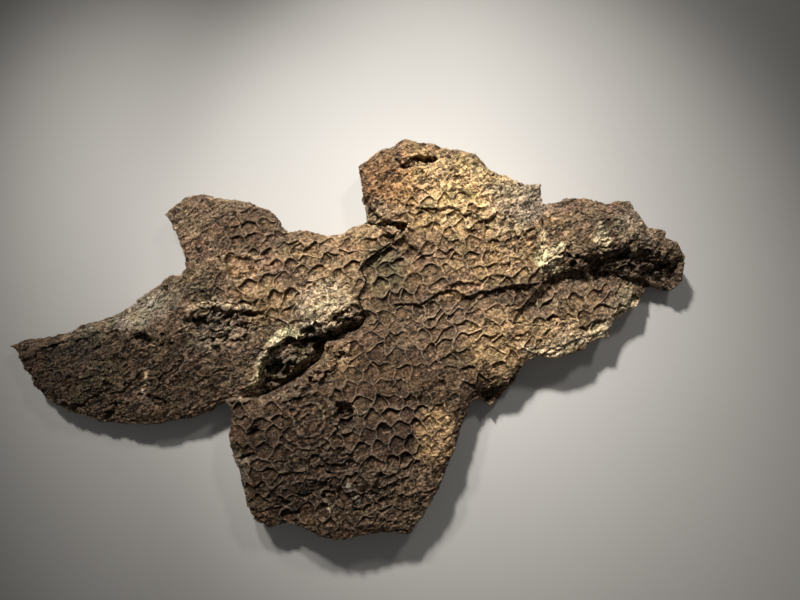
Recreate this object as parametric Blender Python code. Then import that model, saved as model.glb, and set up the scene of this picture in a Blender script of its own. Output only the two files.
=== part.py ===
"""Fossil skin impression: a broken sandstone slab in three fitted blocks, lying on its back, skin side up.

+X runs along the slab, +Y across it and +Z out of the skin face. The origin is the middle of the
slab's bounding box, on its flat back. The skin itself is a natural mould: its scales are shallow
dishes between thin ridges, and the solids here carry the broad relief that those dishes lie in.
"""

import bmesh
import bpy
import numpy as np
from mathutils import Vector, geometry, noise

# Driving dimensions, in metres.
CM = 0.01  # the outlines and height marks below are in centimetres
JOINT_GAP = 0.0008  # clearance between two fitted blocks
SKIN_STEP = 0.0205  # spacing of the points of the skin face
EDGE_STEP = 0.021  # spacing of the points of an outline
EDGE_WANDER = 0.0028  # how far a broken edge strays from its outline
SHOULDER_INSET = 0.006  # skin face's edge, inside the widest outline
BACK_INSET = 0.013  # back face's edge, inside the widest outline
EDGE_ROUNDING = 0.013  # drop of the skin face at a broken edge
EDGE_REACH = 0.020  # how far in from that edge the drop reaches
MARK_SPREAD = 0.043  # how far each height mark bears on the skin face
LUMP_HEIGHT = 0.0034  # height of the rough lumps of the broken rock
LUMP_SIZE = 0.055  # and their width
FINE_LUMP_SIZE = 0.024  # width of the smaller lumps on them
FINE_LUMP_SHARE = 0.6  # and their height, as a share of the larger ones'
WAIST_SHARE = 0.52  # height of the widest outline, as a share of the skin's height there
WAIST_WANDER = 0.16  # how far that share strays
SHARP_EDGE = 0.6  # turn between two facets, in radians, from which their edge stays sharp

# How the points are set out.
INSET_WANDER = 0.6  # how unevenly an inset runs, as a share of it
INSET_WANDER_SIZE = 0.05  # and over what length, in metres
LEAST_INSET_SHARE = 0.25  # share of an inset that is left at the sharpest turns
ROW_SHARE = 0.866  # distance between two rows of an even staggered lattice, as a share of its step
LATTICE_WANDER = 0.3  # how far a lattice point strays, as a share of the step
LATTICE_WANDER_SIZE = 0.7  # and over what length, as a share of the step
SIDE_CLEARANCE = 0.6  # lattice points nearer to a side than this share of the step are left out
PATTERN_STEP = 7.3  # distance between two noise patterns
SAME_POINT = 1e-6  # points nearer than this are one, in metres
INSIDE_ONLY = 1  # the triangulation keeps only what lies inside the outline
LEAST_HALF_TURN = 0.5  # cosine of half the sharpest turn at which a joint's clearance still widens
BESIDE_JOINT_SHARE = 0.5  # share of an inset at the points next to a joint
WAIST_WANDER_SIZE = 0.042  # length over which the height of the widest outline strays, in metres

# Each pattern of noise has its own number.
EDGE_PATTERN = 1
LATTICE_PATTERNS = (2, 3)
LUMP_PATTERN = 4
FINE_LUMP_PATTERN = 5
SHOULDER_PATTERN = 6
BACK_PATTERN = 8
WAIST_PATTERN = 9

# The two joints, from the upper edge down, and the broken edges between their ends.
# All points are in centimetres from one survey mark near the slab's middle.
LEFT_JOINT = (
    (4.5, 29.5),
    (6.75, 28.5),
    (8.5, 29.5),
    (11.5, 29.1),
    (14.5, 28.5),
    (13.25, 26),
    (10.75, 24.25),
    (8.5, 22.75),
    (4.25, 19.75),
    (2.75, 17.5),
    (4.25, 14.75),
    (2.25, 10.5),
    (4, 6),
    (3, 3.5),
    (-1.25, 1.5),
    (-6.25, -0.25),
    (-7.25, -4.25),
    (-12.5, -8.75),
    (-18.25, -12.25),
    (-23, -14.5),
    (-27.5, -14),
    (-30.25, -14.75),
)
RIGHT_JOINT = (
    (47.5, 33.6),
    (47, 28.5),
    (46.7, 22.25),
    (46.75, 17.75),
    (47, 14),
    (45.25, 12.25),
    (43.75, 10.25),
    (41.25, 7.25),
    (39.5, 4),
    (43.75, 3.75),
    (48.25, 3.75),
    (50.5, 5.25),
    (53, 5.25),
    (54.5, 3),
    (57.25, 1),
    (59.25, -0.25),
)
LEFT_EDGE = (
    (2.75, 28.5),
    (0.5, 28),
    (-2, 26.5),
    (-4.75, 26),
    (-8.75, 27),
    (-12.5, 27.5),
    (-15.75, 26.9),
    (-17.25, 28.75),
    (-18, 30.75),
    (-20.25, 32.75),
    (-23, 33.5),
    (-26.75, 34.9),
    (-32, 35.25),
    (-37.6, 36.8),
    (-41.25, 35.9),
    (-43, 34.5),
    (-45.25, 32.75),
    (-46.25, 31.25),
    (-45.25, 30),
    (-44.25, 27.5),
    (-43, 26),
    (-42.25, 24.25),
    (-41, 22),
    (-40.75, 19.5),
    (-40.6, 17.5),
    (-41.5, 16.25),
    (-44.1, 16.3),
    (-46.5, 16.1),
    (-48.5, 14.2),
    (-52, 11.7),
    (-54.1, 10.9),
    (-55.3, 9.5),
    (-58.3, 7.3),
    (-62.7, 5.1),
    (-67.8, 4.35),
    (-71.9, 1.9),
    (-77.5, 0.5),
    (-83.3, 0.1),
    (-85.9, -1.7),
    (-84.1, -3.6),
    (-84, -5.5),
    (-82.3, -7.9),
    (-80.3, -11.1),
    (-79.4, -12.9),
    (-77.6, -14.6),
    (-75.1, -16.3),
    (-72.8, -17.25),
    (-69.8, -18.9),
    (-66.15, -19.7),
    (-62.6, -21.3),
    (-59.6, -21.2),
    (-56.3, -21.9),
    (-52.5, -21.3),
    (-49.5, -21.4),
    (-46.75, -20.9),
    (-39.9, -19.9),
    (-36.2, -18.8),
    (-32.9, -16.4),
)
CENTRE_LOWER_EDGE = (
    (-29.5, -18),
    (-29.75, -21.25),
    (-30.25, -24),
    (-29.75, -27.25),
    (-28.5, -29.75),
    (-27.25, -35.5),
    (-26, -40.75),
    (-24, -44.75),
    (-20, -47),
    (-13.75, -45.6),
    (-11.75, -46.5),
    (-7, -48.6),
    (-4, -49.25),
    (-1.75, -49.25),
    (1.5, -48.9),
    (7.5, -47.9),
    (10.5, -47.75),
    (14.5, -48.5),
    (15.75, -47.5),
    (19, -42.75),
    (20.75, -39.25),
    (23, -35.25),
    (24, -33.25),
    (25.75, -28),
    (27.75, -23),
    (28.75, -20),
    (30.5, -15.25),
    (32.5, -15),
    (35.3, -16.9),
    (38.1, -15.2),
    (40.5, -12),
    (42.4, -10),
    (42.25, -7.25),
    (45.25, -4.5),
    (52.5, -4.5),
    (55.5, -3.25),
    (58.25, -2.25),
)
CENTRE_UPPER_EDGE = (
    (47.25, 35.75),
    (46.75, 38.4),
    (42.75, 38.9),
    (40.5, 40),
    (37.5, 41.5),
    (34.1, 42.2),
    (31.75, 45.5),
    (29.5, 46.6),
    (27, 47.1),
    (23, 47.4),
    (21.5, 48.25),
    (19, 49.1),
    (17, 49.1),
    (15.25, 49.9),
    (13.5, 50),
    (12, 49.5),
    (11, 48.25),
    (8, 47.25),
    (6, 46),
    (4, 44.4),
    (2.1, 43),
    (2.75, 38.75),
    (2.75, 35.75),
    (3.5, 33.5),
    (4, 31.5),
)
RIGHT_EDGE = (
    (61.75, 0.25),
    (64.3, 0.6),
    (65.25, 2.75),
    (65.75, 4.75),
    (68.3, 5.6),
    (69.75, 7.25),
    (71.8, 8.1),
    (73.6, 10.5),
    (75.25, 13),
    (77, 13.1),
    (79.3, 12.1),
    (81.3, 12.5),
    (83, 14.5),
    (83, 17.5),
    (83.25, 21),
    (81.7, 22.9),
    (80.2, 24.9),
    (77.3, 25.1),
    (77, 27),
    (75.6, 27.9),
    (72.7, 27.6),
    (72, 29.5),
    (69.25, 34.25),
    (67.5, 35),
    (63, 34.1),
    (60, 34.9),
    (55.5, 35.75),
    (52, 34.75),
    (50, 33.9),
)

# The stretch of the left joint that stands open as a fissure, and for each block that it wears:
# how far it lowers the skin face, and how far into the block, in metres.
FISSURE = LEFT_JOINT[12:20]
FISSURE_WEAR = {
    "left_block": (0.052, 0.027),
    "centre_block": (0.024, 0.010),
    "right_block": (0.0, 0.010),
}

# Height of each block's skin face above the back, in centimetres, at marks (x, y, height).
LEFT_HEIGHTS = (
    (-43, 32, 7.6),
    (-34, 33, 9.0),
    (-24, 30, 9.6),
    (-18, 28, 8.8),
    (-37, 24, 10.0),
    (-27, 20, 10.7),
    (-15, 20, 10.2),
    (-6, 23, 9.3),
    (2, 21, 9.9),
    (4, 26, 8.7),
    (11, 27.5, 8.0),
    (-38, 14, 9.8),
    (-26, 11, 10.6),
    (-12, 12, 10.7),
    (-1, 14, 9.8),
    (-9, 5, 10.8),
    (-17, 1, 10.0),
    (-46, 14, 6.9),
    (-44, 8, 9.1),
    (-53, 9.5, 6.0),
    (-51, 3, 8.8),
    (-60, 5, 5.2),
    (-60, -2, 8.1),
    (-70, 1.5, 4.8),
    (-70, -4, 7.0),
    (-80, -3, 5.2),
    (-76, -9, 6.0),
    (-66, -10, 7.2),
    (-62, -17, 6.0),
    (-52, -14, 7.4),
    (-47, -5, 8.2),
    (-40, -14, 6.9),
    (-35, -5, 8.2),
    (-33, 3, 8.3),
    (-22, 3, 8.6),
    (-25, -6, 8.3),
)
CENTRE_HEIGHTS = (
    (4, 42, 9.2),
    (6, 36, 9.4),
    (13, 47, 9.4),
    (20, 44, 11.0),
    (30, 42, 10.6),
    (38, 38, 10.2),
    (45, 35, 9.8),
    (20, 36, 11.8),
    (30, 34, 11.4),
    (42, 28, 11.0),
    (14, 31, 11.0),
    (24, 28, 10.8),
    (34, 25, 10.8),
    (44, 20, 11.2),
    (20, 21, 9.8),
    (30, 18, 10.8),
    (11, 22, 8.1),
    (9, 17, 8.3),
    (8, 11, 8.9),
    (17, 13, 9.6),
    (23, 12, 10.6),
    (35, 15, 11.5),
    (43, 14, 11.2),
    (28, 6, 10.2),
    (38, 6, 10.4),
    (48, 0, 9.8),
    (55, 0, 9.2),
    (45, -3, 9.0),
    (38, -8, 8.8),
    (36, -14, 5.8),
    (30, -5, 9.8),
    (20, -2, 10.3),
    (10, -2, 10.5),
    (2, -5, 10.3),
    (25, -15, 9.6),
    (22, -24, 9.8),
    (10, -16, 10.8),
    (-2, -16, 10.9),
    (-10, -18, 10.9),
    (-21, -20, 10.0),
    (-27, -24, 8.8),
    (-26, -36, 8.6),
    (-18, -32, 10.2),
    (-8, -28, 11.2),
    (5, -30, 11.5),
    (18, -34, 9.8),
    (-20, -44, 7.8),
    (-8, -42, 9.6),
    (5, -42, 9.8),
    (13, -45, 8.6),
)
RIGHT_HEIGHTS = (
    (50, 32, 9.8),
    (56, 34, 9.8),
    (66, 33, 9.4),
    (50, 26, 11.6),
    (58, 28, 12.0),
    (66, 28, 11.8),
    (50, 20, 12.2),
    (58, 22, 12.6),
    (66, 24, 12.2),
    (73, 26, 11.4),
    (80, 23, 10.6),
    (81, 18, 7.8),
    (73, 18, 8.8),
    (76, 14, 5.6),
    (66, 18, 9.8),
    (50, 13, 8.8),
    (60, 15, 8.9),
    (68, 13, 8.4),
    (46, 8, 9.4),
    (53, 10, 9.2),
    (60, 9, 9.4),
    (70, 9, 7.6),
    (57, 5, 9.2),
    (62, 3, 8.2),
)

BLOCK_FINISHES = {
    "left_block": ((0.235, 0.195, 0.155), 0.92),
    "centre_block": ((0.270, 0.220, 0.150), 0.90),
    "right_block": ((0.250, 0.215, 0.150), 0.92),
}


def clear_scene():
    for thing in list(bpy.data.objects):
        bpy.data.objects.remove(thing, do_unlink=True)


def lump(point, size, pattern):
    """Smooth noise from -1 to 1 at a point of the plan, in one of the numbered patterns."""
    return noise.noise(Vector((point[0] / size, point[1] / size, PATTERN_STEP * pattern)))


def walk(points, wander):
    """The line through the points at an even spacing, strayed sideways except at its ends."""
    line = []
    for start, end in zip(points, points[1:]):
        start = Vector(start) * CM
        end = Vector(end) * CM
        steps = max(1, round((end - start).length / EDGE_STEP))
        side = (end - start).orthogonal().normalized()
        for step in range(steps):
            point = start.lerp(end, step / steps)
            line.append(point + side * wander * lump(point, EDGE_STEP, EDGE_PATTERN))
    line[0] = Vector(points[0]) * CM
    return line + [Vector(points[-1]) * CM]


def inward(loop, index):
    """Unit vector into a counter-clockwise loop at one of its points, and the cosine of the turn there."""
    before = (loop[index] - loop[index - 1]).normalized()
    after = (loop[(index + 1) % len(loop)] - loop[index]).normalized()
    along = (before + after).normalized()
    return Vector((-along.y, along.x)), before.dot(after)


def block_loop(runs):
    """A block's counter-clockwise outline from its edge and joint runs, and which points lie on a joint."""
    loop = []
    on_joint = []
    for line, is_joint in runs:
        for point in line[:-1]:
            loop.append(point)
            on_joint.append(is_joint)
    return loop, [here or on_joint[index - 1] for index, here in enumerate(on_joint)]


def open_joint(loop, on_joint):
    """Draws the loop's joint points inward by half the clearance, further at a sharp turn."""
    opened = []
    for index, point in enumerate(loop):
        into, turn = inward(loop, index)
        half_turn = max(LEAST_HALF_TURN, ((1 + turn) / 2) ** 0.5)
        opened.append(point + into * (JOINT_GAP / 2 / half_turn) if on_joint[index] else point.copy())
    return opened


def drawn_in(loop, on_joint, distance, pattern):
    """The loop's edge points moved inward by about the distance, less where it turns sharply."""
    ring = []
    for index, point in enumerate(loop):
        into, turn = inward(loop, index)
        near = [on_joint[(index + step) % len(loop)] for step in (-1, 0, 1)]
        share = 0.0 if near[1] else (BESIDE_JOINT_SHARE if any(near) else 1.0)
        share *= max(LEAST_INSET_SHARE, turn) * (1 + INSET_WANDER * lump(point, INSET_WANDER_SIZE, pattern))
        ring.append(point + into * distance * share)
    return ring


def distances(points, starts, ends):
    """Distance from each point to the nearest of the straight sides between the starts and the ends."""
    starts = np.array(starts)
    spans = np.array(ends) - starts
    offsets = points[:, None, :] - starts[None, :, :]
    along = (offsets * spans).sum(axis=2) / (spans * spans).sum(axis=1)
    nearest = offsets - np.clip(along, 0, 1)[:, :, None] * spans
    return np.sqrt((nearest * nearest).sum(axis=2).min(axis=1))


def skin_heights(points, heights, wear, loop, on_joint):
    """Height of the skin face over each point of the plan."""
    marks = np.array(heights) * CM
    gaps = points[:, None, :] - marks[None, :, :2]
    weights = np.exp(-(gaps * gaps).sum(axis=2) / MARK_SPREAD**2)
    level = (weights * marks[:, 2]).sum(axis=1) / weights.sum(axis=1)
    after = loop[1:] + loop[:1]
    both_on_joint = [here and there for here, there in zip(on_joint, on_joint[1:] + on_joint[:1])]
    broken = [index for index, joined in enumerate(both_on_joint) if not joined]
    to_edge = distances(points, [loop[index] for index in broken], [after[index] for index in broken])
    level -= EDGE_ROUNDING * np.exp(-((to_edge / EDGE_REACH) ** 2))
    fissure = np.array(FISSURE) * CM
    to_fissure = distances(points, fissure[:-1], fissure[1:])
    level -= wear[0] * np.exp(-((to_fissure / wear[1]) ** 2))
    coarse = np.array([lump(point, LUMP_SIZE, LUMP_PATTERN) for point in points])
    finer = np.array([lump(point, FINE_LUMP_SIZE, FINE_LUMP_PATTERN) for point in points])
    return level + LUMP_HEIGHT * (coarse + FINE_LUMP_SHARE * finer)


def inner_points(ring, step):
    """A staggered, slightly irregular lattice of points inside the ring, clear of its sides."""
    corners = np.array(ring)
    low = corners.min(axis=0)
    high = corners.max(axis=0)
    lattice = []
    row_step = step * ROW_SHARE
    for row in range(int((high[1] - low[1]) / row_step) + 1):
        for column in range(int((high[0] - low[0]) / step) + 1):
            point = Vector((low[0] + (column + 0.5 * (row % 2)) * step, low[1] + row * row_step))
            size = LATTICE_WANDER_SIZE * step
            shift = Vector([lump(point, size, pattern) for pattern in LATTICE_PATTERNS])
            lattice.append(point + shift * LATTICE_WANDER * step)
    lattice = np.array(lattice)
    clear = distances(lattice, ring, ring[1:] + ring[:1]) > SIDE_CLEARANCE * step
    return [Vector(point) for point, kept in zip(lattice, clear) if kept and inside(point, corners)]


def inside(point, corners):
    """Whether the point lies within the closed outline, by counting the sides that a ray crosses."""
    after = np.roll(corners, -1, axis=0)
    crosses = (corners[:, 1] > point[1]) != (after[:, 1] > point[1])
    rise = np.where(crosses, after[:, 1] - corners[:, 1], 1.0)
    reach = corners[:, 0] + (point[1] - corners[:, 1]) * (after[:, 0] - corners[:, 0]) / rise
    return bool((crosses & (point[0] < reach)).sum() % 2)


def triangulated(ring, fill):
    """Triangles over a ring and the points inside it, whose numbers follow the ring's own."""
    count = len(ring)
    sides = [(index, (index + 1) % count) for index in range(count)]
    made = geometry.delaunay_2d_cdt(ring + fill, sides, [list(range(count))], INSIDE_ONLY, SAME_POINT)
    order = [source[0] for source in made[3]]
    if sorted(order) != list(range(count + len(fill))):
        raise ValueError("an outline crosses itself")
    return [tuple(order[corner] for corner in face) for face in made[2]]


def build_block(name, runs, heights, shift):
    loop, on_joint = block_loop(runs)
    loop = open_joint(loop, on_joint)
    shoulder = drawn_in(loop, on_joint, SHOULDER_INSET, SHOULDER_PATTERN)
    back = drawn_in(loop, on_joint, BACK_INSET, BACK_PATTERN)
    fill = inner_points(shoulder, SKIN_STEP)
    plan = shoulder + fill
    levels = skin_heights(np.array(plan), heights, FISSURE_WEAR[name], shoulder, on_joint)
    mesh = bmesh.new()

    def corner(point, height):
        return mesh.verts.new((point.x - shift.x, point.y - shift.y, height))

    skin = [corner(point, level) for point, level in zip(plan, levels)]
    waist = []
    for index, point in enumerate(loop):
        share = WAIST_SHARE + WAIST_WANDER * lump(point, WAIST_WANDER_SIZE, WAIST_PATTERN)
        waist.append(corner(point, levels[index] * share))
    foot = [corner(point, 0.0) for point in back]
    for face in triangulated(shoulder, fill):
        mesh.faces.new([skin[index] for index in face])
    for face in triangulated(back, []):
        mesh.faces.new([foot[index] for index in reversed(face)])
    count = len(loop)
    for upper, lower in ((skin, waist), (waist, foot)):
        for index in range(count):
            after = (index + 1) % count
            mesh.faces.new((upper[index], lower[index], lower[after], upper[after]))
    bmesh.ops.recalc_face_normals(mesh, faces=mesh.faces)
    bmesh.ops.triangulate(mesh, faces=mesh.faces)
    data = bpy.data.meshes.new(name)
    mesh.to_mesh(data)
    mesh.free()
    block = bpy.data.objects.new(name, data)
    bpy.context.scene.collection.objects.link(block)
    data.shade_smooth()
    data.set_sharp_from_angle(angle=SHARP_EDGE)
    return block


def add_finish(block):
    colour, roughness = BLOCK_FINISHES[block.name]
    finish = bpy.data.materials.new(block.name + "_stone")
    finish.use_nodes = True
    shader = finish.node_tree.nodes["Principled BSDF"]
    shader.inputs["Base Color"].default_value = (*colour, 1.0)
    shader.inputs["Roughness"].default_value = roughness
    shader.inputs["Metallic"].default_value = 0.0
    block.data.materials.append(finish)


def build_slab():
    left_joint = walk(LEFT_JOINT, EDGE_WANDER)
    right_joint = walk(RIGHT_JOINT, 0.0)
    left_edge = walk((LEFT_JOINT[0],) + LEFT_EDGE + (LEFT_JOINT[-1],), EDGE_WANDER)
    lower_edge = walk((LEFT_JOINT[-1],) + CENTRE_LOWER_EDGE + (RIGHT_JOINT[-1],), EDGE_WANDER)
    upper_edge = walk((RIGHT_JOINT[0],) + CENTRE_UPPER_EDGE + (LEFT_JOINT[0],), EDGE_WANDER)
    right_edge = walk((RIGHT_JOINT[-1],) + RIGHT_EDGE + (RIGHT_JOINT[0],), EDGE_WANDER)
    outline = np.array(left_edge + lower_edge + upper_edge + right_edge)
    shift = Vector((outline.min(axis=0) + outline.max(axis=0)) / 2)
    blocks = (
        ("left_block", ((left_edge, False), (left_joint[::-1], True)), LEFT_HEIGHTS),
        (
            "centre_block",
            ((lower_edge, False), (right_joint[::-1], True), (upper_edge, False), (left_joint, True)),
            CENTRE_HEIGHTS,
        ),
        ("right_block", ((right_edge, False), (right_joint, True)), RIGHT_HEIGHTS),
    )
    for name, runs, heights in blocks:
        add_finish(build_block(name, runs, heights, shift))


clear_scene()
build_slab()
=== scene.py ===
"""Looks of the fossil skin impression: three fitted blocks of sandstone with their scales and colours."""
from math import cos, pi, radians, sin

import bmesh
import bpy
import numpy as np
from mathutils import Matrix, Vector


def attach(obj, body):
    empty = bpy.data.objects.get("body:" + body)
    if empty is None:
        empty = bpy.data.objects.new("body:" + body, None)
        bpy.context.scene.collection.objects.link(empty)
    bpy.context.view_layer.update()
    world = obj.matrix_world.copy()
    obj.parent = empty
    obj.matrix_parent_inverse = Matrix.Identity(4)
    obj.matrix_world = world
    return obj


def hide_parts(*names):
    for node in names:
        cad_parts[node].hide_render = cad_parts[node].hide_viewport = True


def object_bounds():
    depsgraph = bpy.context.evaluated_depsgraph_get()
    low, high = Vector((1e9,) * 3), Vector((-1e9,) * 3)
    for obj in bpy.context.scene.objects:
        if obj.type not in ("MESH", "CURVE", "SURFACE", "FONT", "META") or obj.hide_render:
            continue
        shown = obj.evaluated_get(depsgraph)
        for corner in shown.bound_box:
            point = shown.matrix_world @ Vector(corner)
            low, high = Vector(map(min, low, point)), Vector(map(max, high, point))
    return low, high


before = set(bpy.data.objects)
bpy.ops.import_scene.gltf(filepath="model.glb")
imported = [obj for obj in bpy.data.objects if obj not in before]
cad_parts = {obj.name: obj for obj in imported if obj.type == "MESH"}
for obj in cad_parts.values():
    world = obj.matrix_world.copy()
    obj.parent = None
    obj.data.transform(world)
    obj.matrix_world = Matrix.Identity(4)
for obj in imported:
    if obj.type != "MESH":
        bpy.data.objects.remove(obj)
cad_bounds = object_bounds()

CM = 0.01
MM = 0.001
# The survey mark's place in the frame; places on the slab are in centimetres from it.
SURVEY_MARK = (0.0129, -0.0042)
# They were sighted from this point and height, and read off at this level above the back.
SIGHT_POINT = (0.1379, 0.0958)
SIGHT_HEIGHT = 1.565
READ_HEIGHT = 0.054
LENS = 27.2

# Merging distance, and the angle past which edges, and the cosine past which corners, stay sharp
SAME_POINT = 0.00002
KEPT_EDGE = 0.9
KEPT_CORNER = -0.75
ROUNDING_LEVELS = 3
FINE_VOXEL = 0.0021
MOST_TRIANGLES = 196000
BOX_MARGIN = 0.0002
# Points above this height follow the relief in full, and lower ones in proportion.
FOLLOW_HEIGHT = 0.065
# Where the sides give way to the skin face, by the normal's upright part and by height, and to the back
FRONT_SLOPES = (0.15, 0.6)
FRONT_LEVELS = (0.012, 0.025)
BACK_SLOPES = (-0.7, -0.1)

# Odd numbers that scramble a cell's place and channel into its noise
HASH_STEPS = (374761393, 668265263, 974634777)
HASH_MIX = 1274126177
# Each kind of trace: how far it strays, over what distance and by which noise channel, in centimetres, or
# for pits and bulges in shares of their smaller half length
TRACES = {
    "broad scarps": (0.35, 2.2, 100), "broad bevels": (0.4, 3, 250), "stains": (1.6, 5, 300),
    "stain rims": (0.5, 1.3, 310), "veins": (0.5, 2, 320), "rugged": (1.0, 3, 400), "faded": (1.0, 3, 420),
    "broad pits": (0.3, 1, 500), "patches": (0.8, 4, 600), "rings": (0.5, 2.5, 700),
    "fine scarps": (0.35, 2.2, 800), "cracks": (0.3, 1.2, 1000), "fine pits": (0.3, 1, 1200),
    "fine bulges": (0.3, 1, 1400), "broad bulges": (0.3, 1, 1500),
}
# Channels that each trace has of its own
CHANNEL_STEP = 10
# Lengths over which the ends of scarps and cracks fade in
END_FADE = 1.6
CRACK_FADE = 0.6
# Widths that a bevel falls on for, and the share of its wall that a pit adds outside its half lengths
BEVEL_RUN = 1.5
PIT_LIP = 0.3
# Where stains and other places fade out, in half lengths, and where patches do, in centimetres
STAIN_EDGE = (0.45, 1.25)
PLACE_EDGE = (0.6, 1.2)
PATCH_RIM = 0.8
# Share of the skin that is lost where its scales are worn away
FADED_SKIN = 0.5

# The net of scales: turn in radians, size of a scale, stray of their places, and how its rows stagger
NET_TURN = 0.14
SCALE_SIZE = (0.041, 0.0355)
NET_STRAY = 0.68
ROW_SHIFT = 0.25
ROW_ARCH = 0.15
# Noise that bends the net: (size, reach)
NET_BENDS = ((0.17, 0.07), (0.035, 0.009), (0.010, 0.003))
# Hollows deepen in this direction, turned by each scale's chance times the spread.
LEAN = (-0.5, 1, 0)
LEAN_SPREAD = (0.7, 0, 0)
# Least growth of the radius from a scale's heart, and the powers that shape a hollow's wall and floor
HEART_GROWTH = 1.5
WALL_POWER = 7
FLOOR_POWER = 1.4
# Patches where the scales are worn: their size and contrast, and the share of the relief that stays
WEAR_SIZE = 0.07
WEAR_CONTRAST = 3
LEAST_RELIEF = 0.25
# Sizes given to the trees that press the scales and roughen the rock
NET_RELIEF = {"Ridge Width": 0.0018, "Depth Spread": 0.9}

# Direction of the rock's grain in radians, and how far it draws faces and mottles out
STREAK_TURN = 0.45
CHIP_STRETCH = 1.9
MOTTLE_STRETCH = 1.7
# Noise that bends the rock's faces: (size, reach)
WARP = (0.05, 0.03)
RAGGED = (0.012, 0.009)
# Step between one small broken face and the next, as a share of their size
FACET_STEP = 0.3
ROCK_RELIEF = {
    "Swell": 0.010, "Chip Size": 0.024, "Chip Slope": 0.75, "Hackle Size": 0.011, "Hackle Slope": 0.7,
    "Bed Sink": 0.0002, "Bed Height": 0.004,
}
# Swells and grain of the rock: (size, detail, roughness)
SWELL_NOISE = (0.055, 3, 0.5)
GRAIN_NOISE = (0.009, 3, 0.6)
# How strongly the relief shows: recipes of a start and the share of each kind of surface
CHIP_SHARES = (0, {"skin": 0.07, "bare": 0.34, "rugged": 1.2})
HACKLE_SHARES = (0.28, {"bare": 0.28, "rugged": 0.3})
GRAIN_HEIGHTS = (0.0024, {"bare": 0.0006})
HACKLE_SHADES = (0.4, {"bare": 0.4})
# Share of the roughness that the flat back keeps
BACK_SHARE = 0.12
# Beds on the sides: how densely they lie along each axis, their noise, and what bends them
BED_DENSITY = (6, 6, 150)
BED_NOISE = (1, 2, 0.6)
BED_WARP = (0.04, 1.5)
# Rounds of blurring that a point is compared with, to find what stands out or is sunk, for painted
# highlight and shade
BLUR_ROUNDS = {"worn_light_and_shade": 3, "sunk": 24}

# The stone's noise layers: (size, detail, roughness)
BLOTCHES = (0.06, 4, 0.6)
MOTTLES = (0.016, 5, 0.65)
GRAINS = (0.0055, 4, 0.75)
HUES = (0.05, 3)
# Sizes of its broken faces, the height at which one stands proud, and how much smoother skin is
HACKLE_SIZE = 0.0085
FLAKE_SIZE = 0.0048
PROUD_HEIGHT = 0.004
SKIN_SMOOTHNESS = 0.3
# Depth and height past which hollows and ridges show in full
FULL_DISH = 0.004
FULL_RIDGE = 0.0012
# Pale line along a ridge: width, the share that wear leaves, and its breaks: size, contrast, middle, least
CREST_WIDTH = 0.0012
LEAST_CREST = 0.35
CREST_BREAKS = (0.02, 2.5, 0.8, 0.15)
# Band of painted shadow and dirt inside a rim, strongest toward the hollow's deep end: its distance and
# width
UNDER_RIM = 0.003
UNDER_WIDTH = 0.0022
# Recipes of the stone's looks: a start and the share of each layer; the layers that follow the relief paint
# shade and highlight into the colour
LIGHTNESS = (1.05, {
    "blotch": 0.6, "mottle": 2.9, "facet": 0.7, "shade": 0.35, "grain": 4.8, "proud": 0.3, "scale": 0.4,
})
# Painted shade and dirt: darker in the scales' hollows, in the band inside each rim, on low faces and where
# the surface is sunk; the mottle and grain parts are dirt
SHADE_AND_DIRT = (-0.13, {
    "hollow": 0.3, "under": 0.85, "sunk": -0.3, "worn_light_and_shade": -0.9, "proud": -0.3, "mottle": 0.8, "grain": -2.0,
})
# Painted highlight and rubbing: paler where the surface stands out finely and broadly and on raised faces,
# and along the scales' ridges and in the grain
HIGHLIGHT_AND_RUB = (-0.3, {"worn_light_and_shade": 1.3, "sunk": 0.18, "crest": 0.7, "proud": 0.35, "grain": 2.6})
ROUGHNESS = (0.86, {"mottle": 0.2, "crest": -0.08})
RELIEF = (0, {"faces": 1.1, "grain": 0.004, "crest": 0.001})
LIGHTNESS_LIMITS = (0.15, 2.6)
HUE_SPREAD = (0.35, 0.15, 0.45)
# Painted shade and dirt multiply the colour by their tint, and painted highlight and rubbing by their gain,
# with a tint added.
MOST_SHADE_AND_DIRT = 0.9
SHADE_AND_DIRT_TINT = (0.28, 0.23, 0.18)
MOST_HIGHLIGHT_AND_RUB = 0.75
HIGHLIGHT_AND_RUB_GAIN = 1.35
HIGHLIGHT_AND_RUB_TINT = (0.10, 0.087, 0.068)
# Bump: height of the mottling, how much lower it is on skin, and the share of the hollows' depth
MOTTLE_HEIGHT = 0.006
MOTTLE_SMOOTHING = 0.002
HOLLOW_SHARE = 0.4
STONE_IOR = 1.45
STONE_SPECULAR = 0.3

# Floor, lamps and room
FLOOR_HALF = 6.0
FLOOR_COLOURS = ((0.52, 0.51, 0.495), (0.57, 0.56, 0.545))
FLOOR_CLOUDS = (0.5, 3)
FLOOR_ROUGHNESS = 0.85
LAMP_COLOUR = (1.0, 0.965, 0.91)
# Lamps: (name, place, aim, size, power, spread in degrees)
LAMPS = (
    ("key", (-0.45, 2.05, 1.75), (0.4, 0.12, 0), 0.22, 5.9, 38),
    ("wash", (-1.1, 1.9, 1.75), (-0.38, 0.1, 0), 0.22, 2.6, 34),
    ("side", (1.2, 1.9, 1.75), (0.2, 0, 0), 0.3, 1.6, 60),
)
ROOM_COLOUR = (1.0, 0.98, 0.95)
ROOM_LIGHT = 0.10
# Places of a Mix node's colour sockets, whose names its other sockets share
MIX_FIRST, MIX_SECOND, MIX_RESULT = 6, 7, 2


# ---- places and noise on the plan


def smooth(low, high, value):
    """0 below low, 1 above high and an even S between them."""
    share = np.clip((value - low) / (high - low), 0, 1)
    return share * share * (3 - 2 * share)


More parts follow.
